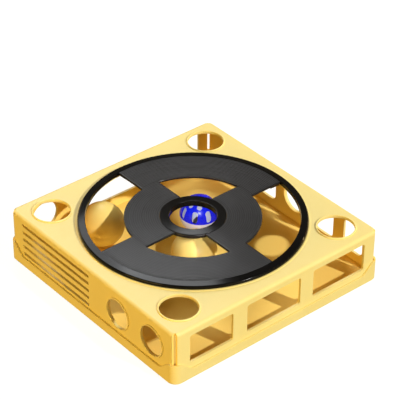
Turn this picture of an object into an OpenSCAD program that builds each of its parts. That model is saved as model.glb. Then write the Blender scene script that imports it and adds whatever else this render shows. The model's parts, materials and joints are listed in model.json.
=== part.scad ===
/* [Base tray] */
// Outer side of the square tray
base_side = 256.6; // [256.6:0.2:258]
// Plan radius of the tray's corners
base_corner_r = 9; // [8.9:0.1:9.5]
// Thickness of the tray's rim
base_wall = 1.7; // [1.2:0.1:1.7]
// Height of the rim along the sides
rim_top = 10.9; // [9:0.1:12]
// Height of the raised corner guards
guard_top = 21.8; // [18:0.1:24]
// Distance from the middle where a guard starts to rise
guard_start = 104.5; // [96:0.5:108]
// Distance from the middle where a guard is at full height
guard_end = 121.7; // [114:0.1:122]
// Height of the floor the balls roll on
floor_top = 5; // [4.5:0.1:5]
// Thickness of the floor
floor_t = 2.2; // [1.8:0.1:2.4]
// Width of the ribs under the floor
rib_w = 1.6; // [1.2:0.1:3]

/* [Anti-slip pads] */
// Radius of a pad
pad_r = 8; // [6:0.5:9]
// Height that a pad stands proud of the tray
pad_proud = 0.8; // [0.6:0.1:1]
// Depth of the seat that a pad is glued into
pad_seat = 1.2; // [0.8:0.1:1.4]
// Distance of a pad from the middle, along both sides
pad_pos = 98; // [80:1:104]

/* [Top cover] */
// Outer side of the square cover
cover_side = 252.6; // [251.6:0.2:252.6]
// Plan radius of the cover's corners
cover_corner_r = 7; // [6.9:0.1:7.5]
// Thickness of the cover's walls
cover_wall = 2.5; // [2:0.1:3]
// Thickness of the cover's top
cover_top_t = 3; // [2.8:0.1:3]
// Height of the cover's top face
cover_top_z = 57; // [57:0.1:57.5]
// Height of the cover's lower edge
cover_low_z = 5.1; // [5.1:0.1:6]
// Radius of the rounded top edge
edge_r = 3.5; // [2:0.1:3.5]
// Side of the square notch cut down each upright corner
notch_side = 4; // [3.6:0.1:5]
// Lower end of the corner notches
notch_z = 19.3; // [15:0.1:21]

/* [Openings] */
// Distance of a corner hole from the middle, along both sides
paw_pos = 97.2; // [95:0.1:98]
// Radius of a corner hole
paw_r = 18.3; // [14:0.1:18.6]
// Height of the raised bead around a round hole
bead_h = 1.4; // [1:0.1:1.5]
// Thickness of the bead
bead_w = 1.6; // [1.2:0.1:1.8]
// Top of the windows
window_top = 48.4; // [45:0.1:49]
// Bottom of the windows
window_low = 17.4; // [16:0.1:21]
// Corner radius of the front and back windows
window_r = 2.5; // [1:0.1:4]
// Corner radius of the narrow windows in the right wall
right_r = 6; // [2:0.1:7]
// Radius of the round holes in the walls
port_r = 15.3; // [12:0.1:15.5]
// Height of the round holes' middles
port_z = 32.3; // [31:0.1:33]
// Height of a louvre slot
louvre_h = 3.3; // [1.6:0.1:3.6]
// Step from one louvre to the next
louvre_step = 8.35; // [6:0.05:9]
// Height of the lowest louvre
louvre_low_z = 15.3; // [14.4:0.1:16.2]

/* [Turntable] */
// Outer radius of the turntable
disc_r = 111.5; // [110:0.1:112]
// Width of the turntable's rim
rim_w = 7.7; // [7:0.1:8]
// Radius of the step between inner and outer cut-outs
mid_r = 66.8; // [60:0.2:72]
// Half width of the spokes
spoke_h = 10.4; // [8:0.2:12]
// Thickness of the plate
plate_t = 2.2; // [1.8:0.1:2.2]
// Height of the plate's top face
plate_z = 61.6; // [61.5:0.05:61.6]
// Depth of the boss around the hub's seat, below the plate
boss_h = 1.5; // [1:0.1:2]
// Height of the rim's inner edge
rim_z = 62.2; // [62.1:0.1:62.6]
// Outward fall of the rim's top face, in degrees
rim_tilt = 8; // [4:0.5:9]
// Radius of the rim's rounded outer edge
rim_edge_r = 1.6; // [0.8:0.1:1.7]
// Outer radius of the hub ring
hub_r = 32.5; // [32:0.1:33]
// Radius of the hub's hole
hub_hole_r = 23; // [22.9:0.1:23.5]
// Height of the hub ring's crest
hub_z = 62.5; // [62.5:0.05:62.6]
// Radius of the hub's rounded inner edge
hub_edge_r = 1; // [0.8:0.1:1.6]
// Radius of the hub's rounded outer edge
hub_lip_r = 0.5; // [0.4:0.05:0.5]
// Outward fall of the hub's top face, in degrees
hub_tilt = 2.5; // [2:0.1:2.5]
// Depth of the hub's tube
hub_depth = 5.9; // [5:0.1:6.2]
// Height of the raised collar that the turntable rides on
collar_h = 0.7; // [0.6:0.1:1.2]
// Clearance between the rim and the collar
seat_gap = 0.3; // [0.3:0.05:0.4]

/* [Balls] */
// Radius of a plain ball
ball_r = 22.7; // [21:0.1:22.8]
// Radius of the slotted bell ball
bell_ball_r = 20; // [18:0.1:20.2]
// Wall of the ball shells
ball_t = 1.6; // [1.2:0.1:2]
// Middle of the left ball
left_xy = [-48.6, 82]; // [-100:0.1:100]
// Middle of the front ball
front_xy = [-7.9, -11.5]; // [-100:0.1:100]
// Middle of the slotted ball
bell_xy = [39.4, 37.4]; // [-100:0.1:100]
// Radius of a jingle bell
bell_r = 6.5; // [5:0.1:7]
// Turn of the slotted ball's slots
slot_turn = 35; // [0:0.5:45]

/* [Hidden] */
$fn = 96;
roll_gap = 0.35;
yellow = [0.95, 0.78, 0.38];
black = [0.03, 0.03, 0.035];
plate_bottom = plate_z - plate_t;
top_low = cover_top_z - cover_top_t;
ledge_top = cover_top_z + collar_h;
ledge_low = ledge_top - 2.8;
ledge_r = 106;
guide_r = ledge_r - 0.5;
flange_low = ledge_low - 0.3;
retainer_t = 1.4;
retainer_low = flange_low - retainer_t;
rim_in = disc_r - rim_w;
collar_r = disc_r + 1.1;
collar_foot_r = disc_r + 1.5;
hub_seat_r = hub_r - 2.5;
screw_r = 100;
screw_angles = [18, 45, 72, 198, 225, 252];
lap = 0.6;
ports = [[-90, 44.5], [-90, 94.3], [90, -10.5], [180, 87.4]];
right_low = window_low - 3;

// Square with round corners, centred
module rsq(s, r) {
  square([s - 2 * r, s], center = true);
  square([s, s - 2 * r], center = true);
  for (x = [-1, 1], y = [-1, 1]) translate([x * (s / 2 - r), y * (s / 2 - r)]) circle(r);
}

// Rectangle with round corners, from a to b
module rrect(a, b, r) {
  translate([a[0] + r, a[1]]) square([b[0] - a[0] - 2 * r, b[1] - a[1]]);
  translate([a[0], a[1] + r]) square([b[0] - a[0], b[1] - a[1] - 2 * r]);
  for (x = [a[0] + r, b[0] - r], y = [a[1] + r, b[1] - r]) translate([x, y]) circle(r, $fn = 32);
}

// Wedge of a plane between two angles
module wedge(r, a0, a1) {
  n = 12;
  polygon(concat([[0, 0]], [for (i = [0:n]) let(a = a0 + (a1 - a0) * i / n) [r * cos(a), r * sin(a)]]));
}

// Part of a flat ring
module arc_ring(r0, r1, a0, a1, z0, z1) {
  translate([0, 0, z0]) linear_extrude(z1 - z0) intersection() {
    difference() { circle(r1, $fn = 180); circle(r0, $fn = 180); }
    wedge(r1 * 1.3, a0, a1);
  }
}

// Smooth rise from the rim to the top of a corner guard
function guard_curve(s) = [for (i = [0:10]) let(t = i / 10) [s * (guard_start + (guard_end - guard_start) * t), rim_top + (guard_top - rim_top) * (1 - cos(180 * t)) / 2]];

module guard_cut() {
  a = guard_curve(-1);
  b = guard_curve(1);
  rotate([90, 0, 0]) linear_extrude(2 * base_side, center = true)
    polygon(concat([for (i = [0:10]) a[10 - i]], b, [[guard_end, guard_top + 5], [-guard_end, guard_top + 5]]));
}

module base_tray() {
  inner = base_side - 2 * base_wall;
  under = floor_top - floor_t;
  color(yellow) difference() {
    union() {
      difference() {
        translate([0, 0, pad_proud]) linear_extrude(guard_top - pad_proud) rsq(base_side, base_corner_r);
        translate([0, 0, floor_top]) linear_extrude(guard_top) rsq(inner, base_corner_r - base_wall);
        guard_cut();
        rotate([0, 0, 90]) guard_cut();
        translate([0, 0, pad_proud - 1]) linear_extrude(under - pad_proud + 1) rsq(base_side - 6, base_corner_r - 3);
      }
      for (p = [-63, 0, 63]) {
        translate([p - rib_w / 2, -base_side / 2 + 2, pad_proud]) cube([rib_w, base_side - 4, under - pad_proud + 0.5]);
        translate([-base_side / 2 + 2, p - rib_w / 2, pad_proud]) cube([base_side - 4, rib_w, under - pad_proud + 0.5]);
      }
      for (x = [-1, 1], y = [-1, 1]) translate([x * pad_pos, y * pad_pos, pad_proud]) cylinder(r = pad_r + 2.5, h = under - pad_proud + 0.5);
    }
    for (x = [-1, 1], y = [-1, 1]) translate([x * pad_pos, y * pad_pos, pad_proud - 1]) cylinder(r = pad_r + 0.2, h = pad_seat + 1);
  }
}

module anti_slip_pads() {
  color([0.16, 0.16, 0.17]) for (x = [-1, 1], y = [-1, 1]) translate([x * pad_pos, y * pad_pos, 0])
    rotate_extrude() polygon([[0, 0], [pad_r - 0.6, 0], [pad_r, 0.6], [pad_r, pad_proud + pad_seat], [0, pad_proud + pad_seat]]);
}

// Section of the cover with both top edges rounded
module cover_section() {
  h = cover_top_z - cover_low_z;
  translate([-cover_side / 2, 0]) square([cover_side, h - edge_r]);
  translate([-cover_side / 2 + edge_r, 0]) square([cover_side - 2 * edge_r, h]);
  for (s = [-1, 1]) translate([s * (cover_side / 2 - edge_r), h - edge_r]) circle(edge_r, $fn = 48);
}

// Quarter post that rounds an upright corner and its top edge together
module corner_post() {
  h = cover_top_z - cover_low_z;
  rotate_extrude(angle = 90) intersection() {
    union() {
      square([cover_corner_r, h - edge_r]);
      square([cover_corner_r - edge_r, h]);
      translate([cover_corner_r - edge_r, h - edge_r]) circle(edge_r, $fn = 48);
    }
    square([cover_corner_r + 1, h + 1]);
  }
}

module cover_body() {
  c = cover_side / 2 - cover_corner_r;
  translate([0, 0, cover_low_z]) {
    rotate([90, 0, 0]) linear_extrude(2 * c, center = true) cover_section();
    rotate([90, 0, 90]) linear_extrude(2 * c, center = true) cover_section();
    for (i = [0:3]) rotate([0, 0, 90 * i]) translate([c, c, 0]) corner_post();
  }
}

// Window through the wall that faces the given turn, between two places along it
module window(turn, a, b, low = window_low, top = window_top, r = window_r) {
  rotate([0, 0, turn]) translate([0, -cover_side / 2 + 10, 0]) rotate([90, 0, 0])
    linear_extrude(20) rrect([a, low], [b, top], r);
}

// Raised bead around a round hole, standing on the plane of the origin
module bead(r) {
  rotate_extrude() {
    translate([r - 0.1 + bead_w / 2, bead_h - bead_w / 2]) circle(bead_w / 2, $fn = 48);
    translate([r - 1, -1]) square([bead_w + 0.9, 1 + bead_h - bead_w / 2]);
  }
}

// Place of a round hole in a wall, facing out
module port_place(turn, a) {
  rotate([0, 0, turn]) translate([a, -cover_side / 2, port_z]) rotate([90, 0, 0]) children();
}

// Round hole through a sheet of the given thickness, widened towards its back
module round_hole(r, t, relief) {
  translate([0, 0, -t - 4]) cylinder(r = r, h = t + 8);
  translate([0, 0, -t - 0.2]) cylinder(r1 = r + relief, r2 = r, h = 1.4);
}

module top_cover() {
  color(yellow) difference() {
    union() {
      cover_body();
      // raised collar that the turntable rides on
      translate([0, 0, cover_top_z - 1]) rotate_extrude($fn = 240)
        polygon([[ledge_r - 1, 0], [collar_foot_r, 0], [collar_foot_r, 1], [collar_r, collar_h + 1], [ledge_r - 1, collar_h + 1]]);
      // beads around the paw holes and the round holes in the walls
      for (x = [-1, 1], y = [-1, 1]) translate([x * paw_pos, y * paw_pos, cover_top_z]) bead(paw_r);
      for (p = ports) port_place(p[0], p[1]) bead(port_r);
    }
    translate([0, 0, cover_low_z - 1]) linear_extrude(top_low - cover_low_z + 1)
      rsq(cover_side - 2 * cover_wall, cover_corner_r - cover_wall);
    // opening for the turntable, stepped from below
    translate([0, 0, top_low - 1]) cylinder(r = ledge_r, h = 10, $fn = 240);
    translate([0, 0, top_low - 1]) cylinder(r = disc_r, h = ledge_low - top_low + 1, $fn = 240);
    // paw holes in the corners of the top
    for (x = [-1, 1], y = [-1, 1]) translate([x * paw_pos, y * paw_pos, cover_top_z]) round_hole(paw_r, cover_top_t, 1.6);
    // round holes in the walls
    for (p = ports) port_place(p[0], p[1]) round_hole(port_r, cover_wall, 0.7);
    // square notches down the upright corners, open to the inside
    for (i = [0:3]) rotate([0, 0, 90 * i]) {
      translate([cover_side / 2 - notch_side, cover_side / 2 - notch_side, notch_z]) cube([notch_side + 1, notch_side + 1, cover_top_z + 1 - notch_z]);
      translate([cover_side / 2 - cover_corner_r, cover_side / 2 - cover_corner_r, notch_z]) cube([cover_corner_r - cover_wall, cover_corner_r - cover_wall, top_low - notch_z]);
    }
    // front wall
    window(0, -108.1, -57.1);
    window(0, -40.1, 25.9);
    window(0, 41.9, 108.4);
    // left wall
    for (i = [0:4]) window(-90, -106.5, 0, louvre_low_z + i * louvre_step - louvre_h / 2, louvre_low_z + i * louvre_step + louvre_h / 2, louvre_h / 2 - 0.01);
    // right wall
    window(90, -108.5, -81.9, right_low, r = right_r);
    window(90, -67.2, -40.5, right_low, r = right_r);
    window(90, 17.5, 44.5, right_low, r = right_r);
    window(90, 59.5, 86.5, right_low, r = right_r);
    // back wall
    window(180, -28.1, 37.9);
    window(180, -110.6, -44.1);
  }
}

// Sector of the plate's cut-outs in one quarter
module sector_cut(r0, r1, sx, sy) {
  intersection() {
    difference() { circle(r1, $fn = 180); circle(r0, $fn = 180); }
    translate([sx > 0 ? spoke_h : -spoke_h - 200, sy > 0 ? spoke_h : -spoke_h - 200]) square(200);
  }
}

module turntable_plate() {
  color([0.2, 0.2, 0.21]) difference() {
    union() {
      translate([0, 0, plate_bottom]) linear_extrude(plate_t) difference() {
        circle(rim_in, $fn = 240);
        circle(hub_seat_r - 1);
        sector_cut(mid_r, rim_in + 1, 1, -1);
        sector_cut(mid_r, rim_in + 1, -1, 1);
        sector_cut(hub_r, mid_r, 1, 1);
        sector_cut(hub_r, mid_r, -1, -1);
      }
      // boss around the hub's seat
      translate([0, 0, plate_bottom - boss_h]) cylinder(r = hub_r, h = boss_h + plate_t / 2, $fn = 180);
    }
    translate([0, 0, plate_bottom - boss_h - 1]) cylinder(r = hub_seat_r + 0.05, h = plate_t + boss_h + 2, $fn = 180);
    for (a = screw_angles) rotate([0, 0, a]) translate([screw_r, 0, plate_bottom - 1]) cylinder(r = 1.2, h = 2.3, $fn = 32);
  }
}

module turntable_rim() {
  low = ledge_top + seat_gap;
  e = rim_edge_r;
  zc = rim_z - e * cos(rim_tilt) - (disc_r - e + e * sin(rim_tilt) - rim_in - 0.4) * tan(rim_tilt);
  tip = [disc_r - e + e * sin(rim_tilt), zc + e * cos(rim_tilt)];
  color(black) difference() {
    union() {
      rotate_extrude($fn = 240) intersection() {
        union() {
          polygon([[rim_in, low], [disc_r, low], [disc_r, zc], [disc_r - e, zc], tip, [rim_in + 0.4, rim_z], [rim_in, rim_z - 0.4]]);
          translate([disc_r - e, zc]) circle(e, $fn = 48);
        }
        translate([rim_in - 1, low]) square([rim_w + 2, 10]);
      }
      for (a = [45, 225]) {
        arc_ring(96, guide_r, a - 48, a + 48, flange_low, plate_bottom);
        arc_ring(rim_in, guide_r, a - 48, a + 48, flange_low, low + 0.5);
      }
    }
    for (a = screw_angles) rotate([0, 0, a]) translate([screw_r, 0, flange_low - 1]) cylinder(r = 1.2, h = 6, $fn = 32);
  }
}

module turntable_retainers() {
  color([0.1, 0.1, 0.11]) difference() {
    for (a = [45, 225]) arc_ring(96, 109, a - 48, a + 48, retainer_low, flange_low);
    for (a = screw_angles) rotate([0, 0, a]) translate([screw_r, 0, retainer_low - 1]) cylinder(r = 1.2, h = 6, $fn = 32);
  }
}

// Small screw with a round head, head down, seat at the origin
module screw(r, len, head_r, head_h) {
  difference() {
    union() {
      translate([0, 0, -head_h]) cylinder(r = head_r, h = head_h, $fn = 32);
      cylinder(r = r, h = len, $fn = 32);
    }
    for (a = [0, 90]) rotate([0, 0, a]) translate([-head_r * 0.6, -0.25, -head_h - 1]) cube([head_r * 1.2, 0.5, 1.4]);
  }
}

module turntable_screws() {
  color("silver") for (a = screw_angles) rotate([0, 0, a]) translate([screw_r, 0, retainer_low]) screw(1.15, plate_bottom - retainer_low + 1.2, 2.3, 0.8);
}

module turntable_hub_ring() {
  e = hub_edge_r;
  f = hub_lip_r;
  n = [sin(hub_tilt), cos(hub_tilt)];
  c = [hub_hole_r + e, hub_z - e];
  o = [hub_r - f, c[1] + (e - f - (hub_r - f - c[0]) * n[0]) / n[1]];
  color(black) rotate_extrude($fn = 180) {
    polygon([[hub_hole_r, hub_z - hub_depth], [hub_hole_r + 1.6, hub_z - hub_depth], [hub_hole_r + 1.6, plate_bottom], [hub_seat_r, plate_bottom],
      [hub_seat_r, plate_z], [hub_r, plate_z], [hub_r, o[1]], o, o + f * n, c + e * n, c, [hub_hole_r, c[1]]]);
    intersection() {
      translate(c) circle(e, $fn = 64);
      translate([hub_hole_r - 1, c[1]]) square([2 * e, e + 1]);
    }
    intersection() {
      translate(o) circle(f, $fn = 64);
      translate(o) square(2 * f);
    }
  }
}

// Middle of a ball that stands on the floor
function ball_at(xy, r) = [xy[0], xy[1], floor_top + roll_gap + r];

// One half of a hollow ball, with a half-lapped seam at its equator
module shell_half(R, up) {
  seam = R - ball_t / 2;
  difference() {
    intersection() {
      sphere(R);
      if (up) cylinder(r = R + 1, h = R + 1);
      else union() {
        translate([0, 0, -R - 1]) cylinder(r = R + 1, h = R + 1);
        cylinder(r = seam - 0.03, h = lap);
      }
    }
    sphere(R - ball_t);
    if (up) translate([0, 0, -1]) cylinder(r = seam, h = lap + 1.03);
  }
}

// Round-ended slot cut through a shell along its meridian
module meridian_slot(R, lat, len, w) {
  rotate([0, -lat, 0]) translate([R - ball_t - 3, 0, 0]) rotate([0, 90, 0]) linear_extrude(8) {
    square([len - w, w], center = true);
    for (s = [-1, 1]) translate([s * (len - w) / 2, 0]) circle(w / 2, $fn = 32);
  }
}

// Upper half of the bell ball, with a ring of slots and a ring of small holes
module slotted_half() {
  difference() {
    shell_half(bell_ball_r, true);
    for (i = [0:7]) rotate([0, 0, slot_turn + 45 * i]) {
      meridian_slot(bell_ball_r, 21, 11.9, 5.9);
      rotate([0, 0, 15.3]) rotate([0, -52, 0]) translate([bell_ball_r - ball_t - 3, 0, 0]) rotate([0, 90, 0]) cylinder(r = 2.65, h = 8, $fn = 32);
    }
  }
}

// Jingle bell lying at the bottom of a ball, with its slit on top
module bell(R) {
  translate([0, 0, -(R - ball_t - 0.4 - bell_r)]) rotate([0, 35, 230]) difference() {
    sphere(bell_r, $fn = 64);
    sphere(bell_r - 0.6, $fn = 64);
    translate([-0.55, -bell_r * 0.8, 0]) cube([1.1, bell_r * 1.6, bell_r + 1]);
    for (s = [-1, 1]) rotate([s * 53, 0, 0]) cylinder(r = 1.3, h = bell_r + 1, $fn = 32);
  }
}

module pellet(R) {
  translate([0, 0, -(R - ball_t - 0.4 - 0.6 - 0.1 - 1.8)]) sphere(1.8, $fn = 48);
}

module bell_ball_upper_shell() { color([0.05, 0.12, 0.85]) translate(ball_at(bell_xy, bell_ball_r)) slotted_half(); }
module bell_ball_lower_shell() { color([0.9, 0.9, 0.86]) translate(ball_at(bell_xy, bell_ball_r)) shell_half(bell_ball_r, false); }
module bell_ball_bell() { color("gold") translate(ball_at(bell_xy, bell_ball_r)) bell(bell_ball_r); }
module bell_ball_pellet() { color("silver") translate(ball_at(bell_xy, bell_ball_r)) pellet(bell_ball_r); }
module left_ball_upper_shell() { color(yellow) translate(ball_at(left_xy, ball_r)) shell_half(ball_r, true); }
module left_ball_lower_shell() { color(yellow) translate(ball_at(left_xy, ball_r)) shell_half(ball_r, false); }
module left_ball_bell() { color("gold") translate(ball_at(left_xy, ball_r)) bell(ball_r); }
module left_ball_pellet() { color("silver") translate(ball_at(left_xy, ball_r)) pellet(ball_r); }
module front_ball_upper_shell() { color(yellow) translate(ball_at(front_xy, ball_r)) shell_half(ball_r, true); }
module front_ball_lower_shell() { color(yellow) translate(ball_at(front_xy, ball_r)) shell_half(ball_r, false); }
module front_ball_bell() { color("gold") translate(ball_at(front_xy, ball_r)) bell(ball_r); }
module front_ball_pellet() { color("silver") translate(ball_at(front_xy, ball_r)) pellet(ball_r); }

base_tray();
anti_slip_pads();
top_cover();
turntable_plate();
turntable_rim();
turntable_retainers();
turntable_screws();
turntable_hub_ring();
bell_ball_upper_shell();
bell_ball_lower_shell();
bell_ball_bell();
bell_ball_pellet();
left_ball_upper_shell();
left_ball_lower_shell();
left_ball_bell();
left_ball_pellet();
front_ball_upper_shell();
front_ball_lower_shell();
front_ball_bell();
front_ball_pellet();
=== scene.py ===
import json
import math

import bmesh
import bpy
from mathutils import Matrix, Vector


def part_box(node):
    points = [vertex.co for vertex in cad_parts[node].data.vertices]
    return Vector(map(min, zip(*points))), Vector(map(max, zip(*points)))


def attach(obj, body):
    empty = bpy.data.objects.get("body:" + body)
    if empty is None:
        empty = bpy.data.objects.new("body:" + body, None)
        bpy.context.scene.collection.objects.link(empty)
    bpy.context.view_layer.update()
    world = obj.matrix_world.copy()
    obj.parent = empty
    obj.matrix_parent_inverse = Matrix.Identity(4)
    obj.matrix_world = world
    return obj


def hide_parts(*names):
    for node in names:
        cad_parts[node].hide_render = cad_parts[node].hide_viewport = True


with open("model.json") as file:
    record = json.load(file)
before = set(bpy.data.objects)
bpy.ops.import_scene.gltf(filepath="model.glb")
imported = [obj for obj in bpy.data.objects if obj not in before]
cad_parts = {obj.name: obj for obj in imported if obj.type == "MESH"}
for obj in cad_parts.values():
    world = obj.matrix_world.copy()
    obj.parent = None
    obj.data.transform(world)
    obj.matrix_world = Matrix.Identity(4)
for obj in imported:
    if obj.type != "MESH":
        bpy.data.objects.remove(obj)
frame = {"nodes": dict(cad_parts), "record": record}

MM = 0.001
scene = bpy.context.scene
nodes = frame["nodes"]
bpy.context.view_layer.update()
scene.view_settings.view_transform = "Standard"
scene.view_settings.look = "None"


# ---------------------------------------------------------------- camera
def set_camera():
    f_px, az, el, roll = 1757.66, math.radians(-40.0245), math.radians(35.0717), math.radians(0.3236)
    target = Vector((25.898, 20.590, 57.0)) * MM
    back = Vector((math.sin(az) * math.cos(el), -math.cos(az) * math.cos(el), math.sin(el)))
    right = Vector((math.cos(az), math.sin(az), 0.0))
    up = back.cross(right)
    r2 = right * math.cos(roll) + up * math.sin(roll)
    u2 = up * math.cos(roll) - right * math.sin(roll)
    pos = target + back * 1721.27 * MM
    m = Matrix((
        (r2.x, u2.x, back.x, pos.x),
        (r2.y, u2.y, back.y, pos.y),
        (r2.z, u2.z, back.z, pos.z),
        (0, 0, 0, 1)))
    data = bpy.data.cameras.new("camera")
    data.sensor_width = 36.0
    data.sensor_fit = "HORIZONTAL"
    data.lens = f_px / 400 * 36.0
    data.clip_start = 0.05
    data.clip_end = 60
    cam = bpy.data.objects.new("camera", data)
    scene.collection.objects.link(cam)
    cam.matrix_world = m
    scene.camera = cam


set_camera()


# ---------------------------------------------------------------- shader helpers
class Shade:
    """A material with a principled shader and short calls for its nodes."""

    def __init__(self, name):
        self.mat = bpy.data.materials.new(name)
        self.mat.use_nodes = True
        self.t = self.mat.node_tree
        self.t.nodes.clear()
        self.out = self.t.nodes.new("ShaderNodeOutputMaterial")
        self.b = self.t.nodes.new("ShaderNodeBsdfPrincipled")
        self.t.links.new(self.b.outputs[0], self.out.inputs[0])
        self.co = self.t.nodes.new("ShaderNodeTexCoord").outputs["Object"]

    def link(self, a, b):
        self.t.links.new(a, b)

    def set(self, **kw):
        for k, v in kw.items():
            self.b.inputs[k.replace("_", " ")].default_value = v

    def noise(self, scale, detail=3.0, rough=0.5, co=None, distortion=0.0):
        n = self.t.nodes.new("ShaderNodeTexNoise")
        n.inputs["Scale"].default_value = scale
        n.inputs["Detail"].default_value = detail
        n.inputs["Roughness"].default_value = rough
        n.inputs["Distortion"].default_value = distortion
        self.link(co or self.co, n.inputs["Vector"])
        return n.outputs["Fac"]

    def remap(self, x, a, b, c, d, smooth=False):
        n = self.t.nodes.new("ShaderNodeMapRange")
        if smooth:
            n.interpolation_type = "SMOOTHSTEP"
        for i, v in enumerate((a, b, c, d)):
            n.inputs[1 + i].default_value = v
        self.link(x, n.inputs[0])
        return n.outputs[0]

    def math(self, op, a, b=None, c=None):
        n = self.t.nodes.new("ShaderNodeMath")
        n.operation = op
        for i, v in enumerate((a, b, c)):
            if v is None:
                continue
            if isinstance(v, (int, float)):
                n.inputs[i].default_value = v
            else:
                self.link(v, n.inputs[i])
        return n.outputs[0]

    def mix(self, fac, a, b, blend="MIX"):
        n = self.t.nodes.new("ShaderNodeMix")
        n.data_type = "RGBA"
        n.blend_type = blend
        for sock, v in ((n.inputs[0], fac), (n.inputs[6], a), (n.inputs[7], b)):
            if isinstance(v, (int, float)):
                sock.default_value = v
            elif isinstance(v, tuple):
                sock.default_value = (*v, 1.0) if len(v) == 3 else v
            else:
                self.link(v, sock)
        return n.outputs[2]

    def bump(self, height, distance, strength=1.0, normal=None):
        n = self.t.nodes.new("ShaderNodeBump")
        n.inputs["Strength"].default_value = strength
        n.inputs["Distance"].default_value = distance
        self.link(height, n.inputs["Height"])
        if normal is not None:
            self.link(normal, n.inputs["Normal"])
        return n.outputs[0]

    def xyz(self):
        n = self.t.nodes.new("ShaderNodeSeparateXYZ")
        self.link(self.co, n.inputs[0])
        return n.outputs

    def stretch(self, sx, sy, sz):
        n = self.t.nodes.new("ShaderNodeMapping")
        n.inputs["Scale"].default_value = (sx, sy, sz)
        self.link(self.co, n.inputs["Vector"])
        return n.outputs[0]


# ---------------------------------------------------------------- materials
def yellow_plastic(name="yellow_plastic", low=(0.852, 0.708, 0.254), high=(0.872, 0.734, 0.274), streak=(0.882, 0.749, 0.297), speck=(0.740, 0.520, 0.132), rough=(0.36, 0.44), gloss=0.30):
    """Satin moulded plastic with faint flow streaks and a fine spark grain."""
    s = Shade(name)
    cloud = s.noise(14, 3, 0.55)
    flow = s.noise(60, 4, 0.6, co=s.stretch(1, 1, 0.35), distortion=0.6)
    grain = s.noise(1900, 2, 0.6)
    c = s.mix(s.remap(cloud, 0.3, 0.7, 0, 1, True), low, high)
    c = s.mix(s.remap(flow, 0.35, 0.7, 0, 0.35, True), c, streak)
    c = s.mix(s.remap(grain, 0.35, 0.65, 0, 0.10), c, speck)
    s.link(c, s.b.inputs["Base Color"])
    s.link(s.remap(s.math("ADD", s.math("MULTIPLY", flow, 0.6), s.math("MULTIPLY", grain, 0.4)), 0.3, 0.7, *rough), s.b.inputs["Roughness"])
    n = s.bump(cloud, 0.0012, 0.06)
    s.link(s.bump(grain, 0.00006, 0.35, n), s.b.inputs["Normal"])
    s.set(IOR=1.5, Specular_IOR_Level=gloss)
    return s.mat


def yellow_painted_shade_core():
    """The matt inside of the mouldings, redder and less blue than the outside: painted shade for the warm shade inside.
    """
    return yellow_plastic("yellow_painted_shade_core", (0.950, 0.680, 0.168), (0.965, 0.700, 0.182), (0.970, 0.712, 0.196), (0.830, 0.520, 0.094), (0.58, 0.66), 0.02)


def yellow_ball():
    """Satin plastic of the plain balls."""
    s = Shade("yellow_ball")
    cloud = s.noise(40, 3, 0.55)
    grain = s.noise(1500, 2, 0.6)
    c = s.mix(s.remap(cloud, 0.3, 0.7, 0, 1, True), (0.935, 0.690, 0.195), (0.950, 0.715, 0.215))
    c = s.mix(s.remap(grain, 0.35, 0.65, 0, 0.08), c, (0.760, 0.470, 0.080))
    s.link(c, s.b.inputs["Base Color"])
    s.link(s.remap(grain, 0.3, 0.7, 0.38, 0.46), s.b.inputs["Roughness"])
    s.link(s.bump(grain, 0.00004, 0.3, s.bump(cloud, 0.0006, 0.06)), s.b.inputs["Normal"])
    s.set(IOR=1.5, Specular_IOR_Level=0.32)
    return s.mat


def black_gloss():
    s = Shade("black_gloss")
    cloud = s.noise(35, 3, 0.5)
    fine = s.noise(900, 3, 0.6)
    c = s.mix(s.remap(cloud, 0.3, 0.7, 0, 1), (0.0028, 0.0028, 0.0031), (0.0048, 0.0048, 0.0052))
    s.link(c, s.b.inputs["Base Color"])
    s.link(s.remap(s.math("ADD", s.math("MULTIPLY", cloud, 0.5), s.math("MULTIPLY", fine, 0.5)), 0.3, 0.7, 0.09, 0.15), s.b.inputs["Roughness"])
    s.link(s.bump(fine, 0.00003, 0.2), s.b.inputs["Normal"])
    s.set(IOR=1.5, Specular_IOR_Level=0.12)
    return s.mat


GROOVE = 2.1  # ring grooves of the turntable's plate, mm from one to the next


def record_plastic():
    s = Shade("record_plastic")
    x, y, z = s.xyz()
    rad = s.math("SQRT", s.math("ADD", s.math("MULTIPLY", x, x), s.math("MULTIPLY", y, y)))
    # wave across the ring grooves, used for painted shade in the groove bottoms
    groove_trough_shade = s.math("COSINE", s.math("MULTIPLY", rad, 2 * math.pi / (GROOVE * MM)))
    ring = s.t.nodes.new("ShaderNodeTexNoise")
    ring.noise_dimensions = "1D"
    ring.inputs["Scale"].default_value = 2600
    ring.inputs["Detail"].default_value = 2
    s.link(rad, ring.inputs["W"])
    cloud = s.noise(30, 3, 0.5)
    grain = s.noise(2200, 2, 0.5)
    c = s.mix(s.remap(cloud, 0.3, 0.7, 0, 1), (0.0165, 0.0168, 0.0190), (0.0205, 0.0208, 0.0232))
    c = s.mix(s.remap(ring.outputs["Fac"], 0.4, 0.7, 0, 0.30), c, (0.040, 0.040, 0.0420))
    # painted shade: the colour darkens toward the bottom of each ring groove
    c = s.mix(s.remap(groove_trough_shade, -1.0, 1.0, 0.62, 0.0), c, (0.006, 0.006, 0.0064))
    s.link(c, s.b.inputs["Base Color"])
    s.link(s.remap(s.math("ADD", s.math("MULTIPLY", grain, 0.5), s.math("MULTIPLY", ring.outputs["Fac"], 0.5)), 0.3, 0.7, 0.19, 0.26), s.b.inputs["Roughness"])
    s.link(s.bump(ring.outputs["Fac"], 0.00002, 0.3, s.bump(grain, 0.00003, 0.25)), s.b.inputs["Normal"])
    s.set(IOR=1.5, Specular_IOR_Level=0.18)
    return s.mat


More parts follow.
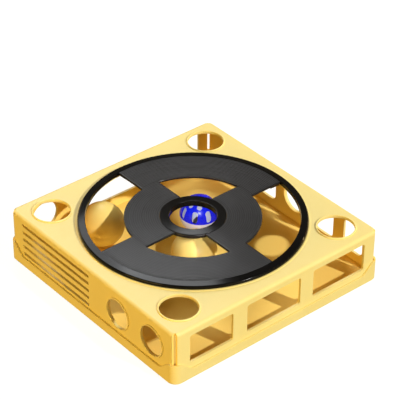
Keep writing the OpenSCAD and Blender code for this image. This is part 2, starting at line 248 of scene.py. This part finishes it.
def rubber():
    s = Shade("pad_rubber")
    n = s.noise(700, 3, 0.6)
    c = s.mix(s.remap(n, 0.3, 0.7, 0, 1), (0.018, 0.018, 0.019), (0.035, 0.035, 0.036))
    s.link(c, s.b.inputs["Base Color"])
    s.link(s.remap(n, 0.3, 0.7, 0.75, 0.9), s.b.inputs["Roughness"])
    s.link(s.bump(n, 0.0002, 0.5), s.b.inputs["Normal"])
    return s.mat


def steel():
    s = Shade("screw_steel")
    n = s.noise(900, 4, 0.6, co=s.stretch(1, 1, 0.2))
    c = s.mix(n, (0.50, 0.50, 0.52), (0.66, 0.66, 0.67))
    s.link(c, s.b.inputs["Base Color"])
    s.link(s.remap(n, 0.3, 0.7, 0.24, 0.38), s.b.inputs["Roughness"])
    s.link(s.bump(n, 0.00004, 0.3), s.b.inputs["Normal"])
    s.set(Metallic=1.0)
    return s.mat


def bell_metal():
    s = Shade("bell_metal")
    n = s.noise(420, 3, 0.6)
    c = s.mix(s.remap(n, 0.3, 0.7, 0, 1), (0.84, 0.74, 0.52), (0.93, 0.86, 0.68))
    s.link(c, s.b.inputs["Base Color"])
    s.link(s.remap(n, 0.3, 0.7, 0.30, 0.44), s.b.inputs["Roughness"])
    s.link(s.bump(n, 0.0001, 0.25), s.b.inputs["Normal"])
    s.set(Metallic=1.0)
    return s.mat


def blue_plastic():
    s = Shade("blue_plastic")
    cloud = s.noise(90, 3, 0.5)
    fine = s.noise(1500, 2, 0.5)
    c = s.mix(s.remap(cloud, 0.3, 0.7, 0, 1), (0.002, 0.009, 0.70), (0.004, 0.015, 0.84))
    s.link(c, s.b.inputs["Base Color"])
    s.link(s.remap(fine, 0.3, 0.7, 0.24, 0.34), s.b.inputs["Roughness"])
    s.link(s.bump(fine, 0.00003, 0.25), s.b.inputs["Normal"])
    s.set(IOR=1.5, Specular_IOR_Level=0.32)
    return s.mat


def cream_plastic():
    s = Shade("cream_plastic")
    cloud = s.noise(90, 3, 0.5)
    fine = s.noise(1500, 2, 0.5)
    c = s.mix(s.remap(cloud, 0.3, 0.7, 0, 1), (0.575, 0.575, 0.645), (0.625, 0.625, 0.690))
    s.link(c, s.b.inputs["Base Color"])
    s.link(s.remap(fine, 0.3, 0.7, 0.22, 0.32), s.b.inputs["Roughness"])
    s.link(s.bump(fine, 0.00003, 0.25), s.b.inputs["Normal"])
    s.set(IOR=1.5)
    return s.mat


MATS = {
    "yellow_plastic": yellow_plastic(),
    "black_gloss": black_gloss(),
    "record_plastic": record_plastic(),
    "pad_rubber": rubber(),
    "screw_steel": steel(),
    "bell_metal": bell_metal(),
    "blue_plastic": blue_plastic(),
    "cream_plastic": cream_plastic(),
}
SLOT = {p["node"]: p["material_slot"] for p in frame["record"]["subparts"]}
BODY = {n: b for b, ns in frame["record"]["behaviour"]["bodies"].items() for n in ns}


BALL = yellow_ball()
# matt inside copy of the yellow plastic, its colour painted shade of the inside
PAINTED_SHADE_CORE = yellow_painted_shade_core()


def finish_of(node):
    return BALL if "ball" in node and SLOT[node] == "yellow_plastic" else MATS[SLOT[node]]


for name, obj in nodes.items():
    for i in range(len(obj.material_slots)):
        obj.material_slots[i].material = finish_of(name)


# ---------------------------------------------------------------- mesh helpers
def add_piece(name, me, node, smooth_angle=None):
    obj = bpy.data.objects.new(name, me)
    scene.collection.objects.link(obj)
    me.materials.append(finish_of(node))
    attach(obj, BODY[node])
    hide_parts(node)
    return obj


def soft_edges(node, name, width, segments, angle, two_sided=False):
    """A moulded copy of a node: flat areas merged, every hard edge rounded, and, if it has two finishes, the inside
    given the matt copy of the plastic whose warmer orange is painted shade.
    """
    bm = bmesh.new()
    bm.from_mesh(nodes[node].data)
    bmesh.ops.remove_doubles(bm, verts=bm.verts, dist=2e-6)
    bmesh.ops.dissolve_limit(bm, angle_limit=math.radians(0.3), use_dissolve_boundaries=False, verts=bm.verts, edges=bm.edges, delimit=set())
    hard = [e for e in bm.edges if len(e.link_faces) == 2 and e.calc_face_angle(0.0) > math.radians(angle)]
    bmesh.ops.bevel(bm, geom=hard, offset=width, offset_type="OFFSET", segments=segments, profile=0.5, affect="EDGES", clamp_overlap=True, loop_slide=True)
    bmesh.ops.dissolve_degenerate(bm, dist=1.5e-6, edges=bm.edges)
    me = bpy.data.meshes.new(name)
    for f in bm.faces:
        f.smooth = True
        c = f.calc_center_median()
        # inside faces take the second material, whose redder colour is painted shade of the inside
        if two_sided and max(abs(c.x), abs(c.y)) < 124.9 * MM and c.z < 55.5 * MM:
            f.material_index = 1
    bm.to_mesh(me)
    bm.free()
    obj = add_piece(name, me, node)
    if two_sided:
        me.materials.append(PAINTED_SHADE_CORE)
    mod = obj.modifiers.new("normals", "WEIGHTED_NORMAL")
    mod.keep_sharp = True
    mod.weight = 100
    return obj


class Build:
    """Points in millimetres, welded where they meet, and faces between them."""

    def __init__(self):
        self.v, self.f, self.key = [], [], {}

    def p(self, x, y, z):
        k = (round(x * 2000), round(y * 2000), round(z * 2000))
        i = self.key.get(k)
        if i is None:
            i = self.key[k] = len(self.v)
            self.v.append((x * MM, y * MM, z * MM))
        return i

    def face(self, *ids):
        ids = [i for n, i in enumerate(ids) if i != ids[n - 1]]
        if len(set(ids)) >= 3:
            self.f.append(ids)

    def mesh(self, name):
        me = bpy.data.meshes.new(name)
        me.from_pydata(self.v, [], self.f)
        bm = bmesh.new()
        bm.from_mesh(me)
        bmesh.ops.recalc_face_normals(bm, faces=bm.faces)
        bm.to_mesh(me)
        bm.free()
        me.update()
        return me


def record_plate():
    """The turntable's plate: two inner and two outer fans joined over the spokes, with ring grooves on top and a boss around the hub's seat."""
    lo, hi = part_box("turntable_plate")
    z1, z0, zb = hi.z / MM, hi.z / MM - 2.2, lo.z / MM
    r_in, r_hub, r_mid, r_out, sp = 30.05, 32.5, 66.8, hi.x / MM, 10.4
    pitch, depth, drop = GROOVE, 0.045, 0.4
    b = Build()

    def radii(a, c):
        n = int(round((c - a) / (pitch / 6)))
        rs = [a + (c - a) * i / n for i in range(n + 1)]
        return rs

    def stations(r, a0):
        """Angles across one fan at radius r, with the distance to the nearer straight edge and the part of the fan."""
        out = []
        ss = [-sp, -sp + drop, -sp + 1.2, -sp * 0.5, 0, sp * 0.5, sp - 1.2, sp - drop, sp]
        for s in ss[:-1]:
            out.append((a0 + math.asin(s / r), s + sp, 0))
        d = math.asin(sp / r)
        n = 64
        for i in range(n + 1):
            t = a0 + d + (math.pi / 2 - 2 * d) * i / n
            out.append((t, 99, 1 if 0 < i < n else 2))
        for s in ss[1:]:
            out.append((a0 + math.pi / 2 + math.asin(s / r), sp - s, 0))
        return out

    def groove(r):
        if r < 35.5 or r > 101.5 or abs(r - r_mid) < 1.6:
            return 0.0
        return -depth * 0.5 * (1 - math.cos(2 * math.pi * r / pitch))

    def fan(a0, ra, rb, cut_low, cut_high):
        rs = radii(ra, rb)
        if cut_low is True:
            rs = [rs[0], rs[0] + drop] + [r for r in rs if r > rs[0] + drop + 0.1]
        if cut_high is True:
            rs = [r for r in rs if r < rs[-1] - drop - 0.1] + [rs[-1] - drop, rs[-1]]
        top, bot = [], []
        for k, r in enumerate(rs):
            trow, brow = [], []
            for t, edge, part in stations(r, a0):
                z = z1 + groove(r)
                if edge < 1e-6 or (part > 0 and ((cut_low is True and k == 0) or (cut_high is True and k == len(rs) - 1))):
                    z = z1 - drop
                trow.append(b.p(r * math.cos(t), r * math.sin(t), z))
                brow.append(b.p(r * math.cos(t), r * math.sin(t), z0))
            top.append(trow)
            bot.append(brow)
        n = len(top[0])
        for k in range(len(rs) - 1):
            for i in range(n - 1):
                b.face(top[k][i], top[k + 1][i], top[k + 1][i + 1], top[k][i + 1])
                b.face(bot[k][i + 1], bot[k + 1][i + 1], bot[k + 1][i], bot[k][i])
            for i in (0, n - 1):
                b.face(top[k][i], top[k + 1][i], bot[k + 1][i], bot[k][i])
        parts = [p for _, _, p in stations(rs[0], a0)]
        for k, want in ((0, cut_low), (len(rs) - 1, cut_high)):
            for i in range(n - 1):
                inner_edge = parts[i] == 1 or parts[i + 1] == 1
                if want == "close" or (want is True and inner_edge):
                    b.face(top[k][i], top[k][i + 1], bot[k][i + 1], bot[k][i])

    def boss():
        """Ring around the hub's seat, welded to the inner fans where they meet it."""
        d = math.asin(sp / r_hub)
        for a0 in (-math.pi / 2, math.pi / 2):
            meet = [t for t, _, _ in stations(r_hub, a0)]
            gap = [a0 + math.pi / 2 + d + (math.pi / 2 - 2 * d) * i / 40 for i in range(41)]
            for ts, open_side in ((meet, False), (gap, True)):
                rows = []
                for i, t in enumerate(ts):
                    c, s = math.cos(t), math.sin(t)
                    top = z1 - (drop if i in (0, len(ts) - 1) else 0.0)
                    rows.append([b.p(r_in * c, r_in * s, zb), b.p(r_in * c, r_in * s, z1), b.p(r_hub * c, r_hub * s, top), b.p(r_hub * c, r_hub * s, z0), b.p(r_hub * c, r_hub * s, zb)])
                for p, q in zip(rows, rows[1:]):
                    for i in range(5):
                        j = (i + 1) % 5
                        if i != 2 or open_side:
                            b.face(p[i], p[j], q[j], q[i])

    for a0 in (-math.pi / 2, math.pi / 2):
        fan(a0, r_hub, r_mid, "ring", True)
    for a0 in (0.0, math.pi):
        fan(a0, r_mid, r_out, True, "close")
    boss()
    me = b.mesh("record_plate")
    for f in me.polygons:
        f.use_smooth = True
    obj = add_piece("record_plate", me, "turntable_plate")
    return obj


def hub_ring():
    """The hub's ring turned from one profile: sleeve and seat below, and a gently sloping top between a rounded inner edge and a lip."""
    lo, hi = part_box("turntable_hub_ring")
    z1, zb, r_out = hi.z / MM, lo.z / MM, hi.x / MM
    r_in, seat, plate_top, plate_low, tilt, e, f, w = 23.0, 30.0, 61.6, 59.4, math.radians(2.5), 1.0, 0.5, 0.03
    ci = (r_in + e, z1 - e)
    co = (r_out - f, ci[1] + (e - f - (r_out - f - ci[0]) * math.sin(tilt)) / math.cos(tilt))
    up = math.pi / 2 - tilt
    curve = [(co[0] + f * math.cos(up * i / 8), co[1] + f * math.sin(up * i / 8)) for i in range(9)]
    curve += [(ci[0] + e * math.cos(up + (math.pi - up) * i / 16), ci[1] + e * math.sin(up + (math.pi - up) * i / 16)) for i in range(17)]
    corners = [(r_in, zb), (r_in + 1.6, zb), (r_in + 1.6, plate_low), (seat, plate_low), (seat, plate_top), (r_out, plate_top)]
    ring = []
    for i, q in enumerate(corners):
        for m in (corners[i - 1] if i else curve[-1], corners[i + 1] if i < 5 else curve[0]):
            d = math.hypot(m[0] - q[0], m[1] - q[1])
            ring.append((q[0] + w * (m[0] - q[0]) / d, q[1] + w * (m[1] - q[1]) / d))
    ring += curve
    b = Build()
    rows = [[b.p(r * math.cos(math.pi * k / 90), r * math.sin(math.pi * k / 90), z) for r, z in ring] for k in range(180)]
    for k in range(180):
        p, q = rows[k - 1], rows[k]
        for i in range(len(ring)):
            b.face(p[i - 1], p[i], q[i], q[i - 1])
    me = b.mesh("glossy_hub")
    for f in me.polygons:
        f.use_smooth = True
    obj = add_piece("glossy_hub", me, "turntable_hub_ring")
    mod = obj.modifiers.new("normals", "WEIGHTED_NORMAL")
    mod.keep_sharp = True
    mod.weight = 100
    return obj


soft_edges("top_cover", "moulded_cover", 0.40 * MM, 3, 34, True)
soft_edges("base_tray", "moulded_tray", 0.25 * MM, 3, 34, True)
soft_edges("turntable_rim", "glossy_rim", 0.12 * MM, 2, 34)
hub_ring()
for ball in ("left_ball", "front_ball"):
    for half in ("upper", "lower"):
        soft_edges(f"{ball}_{half}_shell", f"{ball}_{half}_half", 0.14 * MM, 2, 40)
for half in ("upper", "lower"):
    soft_edges(f"bell_ball_{half}_shell", f"bell_ball_{half}_half", 0.22 * MM, 2, 40)
record_plate()


# ---------------------------------------------------------------- floor and light
def set_stage():
    me = bpy.data.meshes.new("floor")
    h = 6.0
    z = -0.02 * MM
    me.from_pydata([(-h, -h, z), (h, -h, z), (h, h, z), (-h, h, z)], [], [(0, 1, 2, 3)])
    floor = bpy.data.objects.new("floor", me)
    scene.collection.objects.link(floor)
    s = Shade("pale_floor")
    n = s.noise(3, 2, 0.5)
    s.link(s.mix(n, (0.145, 0.145, 0.145), (0.155, 0.155, 0.155)), s.b.inputs["Base Color"])
    s.set(Roughness=1.0, Specular_IOR_Level=0.0, Emission_Color=(1.0, 0.985, 0.96, 1.0), Emission_Strength=0.97)
    me.materials.append(s.mat)
    floor.visible_diffuse = False
    floor.visible_glossy = False

    def aim(obj, pos, at=(0, 0, 0.03)):
        obj.location = pos
        obj.rotation_euler = (Vector(at) - Vector(pos)).to_track_quat("-Z", "Y").to_euler()

    def area(name, pos, size, power, colour=(1, 1, 1), at=(0, 0, 0.03)):
        d = bpy.data.lights.new(name, "AREA")
        d.shape = "RECTANGLE"
        d.size, d.size_y = size
        d.energy = power
        d.color = colour
        o = bpy.data.objects.new(name, d)
        scene.collection.objects.link(o)
        aim(o, pos, at)
        return o

    d = bpy.data.lights.new("key", "SUN")
    d.energy = 2.98
    d.color = (1.0, 0.985, 0.97)
    d.angle = math.radians(2.5)
    o = bpy.data.objects.new("key", d)
    scene.collection.objects.link(o)
    aim(o, Vector((0.214, -0.775, 0.595)) * 3)
    area("softbox", (1.049, 2.733, 2.726), (1.21, 1.29), 23.0, (0.95, 0.975, 1.0))
    area("strip", (1.429, 2.079, 3.104), (0.92, 1.32), 40.0, (0.95, 0.975, 1.0))
    area("fill", (-1.5, -0.15, 0.20), (0.9, 0.3), 15.8, (1.0, 0.65, 0.155))
    area("front_fill", (0.1, -1.8, 0.25), (1.0, 0.3), 5.0, (1.0, 0.80, 0.45))
    area("right_fill", (1.6, 0.1, 0.24), (0.9, 0.3), 9.0, (1.0, 0.68, 0.32))
    area("back_fill", (-0.1, 1.6, 0.24), (0.9, 0.3), 9.0, (1.0, 0.68, 0.32))

    def snoot(name, pos, at, cone, power, colour, soft=0.03, edge=0.5):
        d = bpy.data.lights.new(name, "SPOT")
        d.energy = power
        d.color = colour
        d.spot_size = math.radians(cone)
        d.spot_blend = edge
        d.shadow_soft_size = soft
        o = bpy.data.objects.new(name, d)
        scene.collection.objects.link(o)
        aim(o, pos, at)

    snoot("bell_snoot", (-1.112, -1.334, 1.303), (0.0394, 0.0374, 0.0270), 1.2, 130.0, (0.70, 0.82, 1.0), 0.004, 0.2)
    snoot("rear_snoot", (-1.112, -1.334, 1.303), (0.0457, 0.0449, 0.0409), 1.95, 66.0, (1.0, 0.84, 0.78), 0.004, 0.12)
    snoot("ball_snoot", (-0.325, -1.166, 0.967), (-0.0189, -0.0242, 0.0431), 2.0, 60.0, (1.0, 0.97, 1.0), 0.002, 0.3)
    w = bpy.data.worlds.new("studio")
    scene.world = w
    w.use_nodes = True
    bg = w.node_tree.nodes["Background"]
    bg.inputs[0].default_value = (1.0, 0.80, 0.50, 1)
    bg.inputs[1].default_value = 0.18


set_stage()
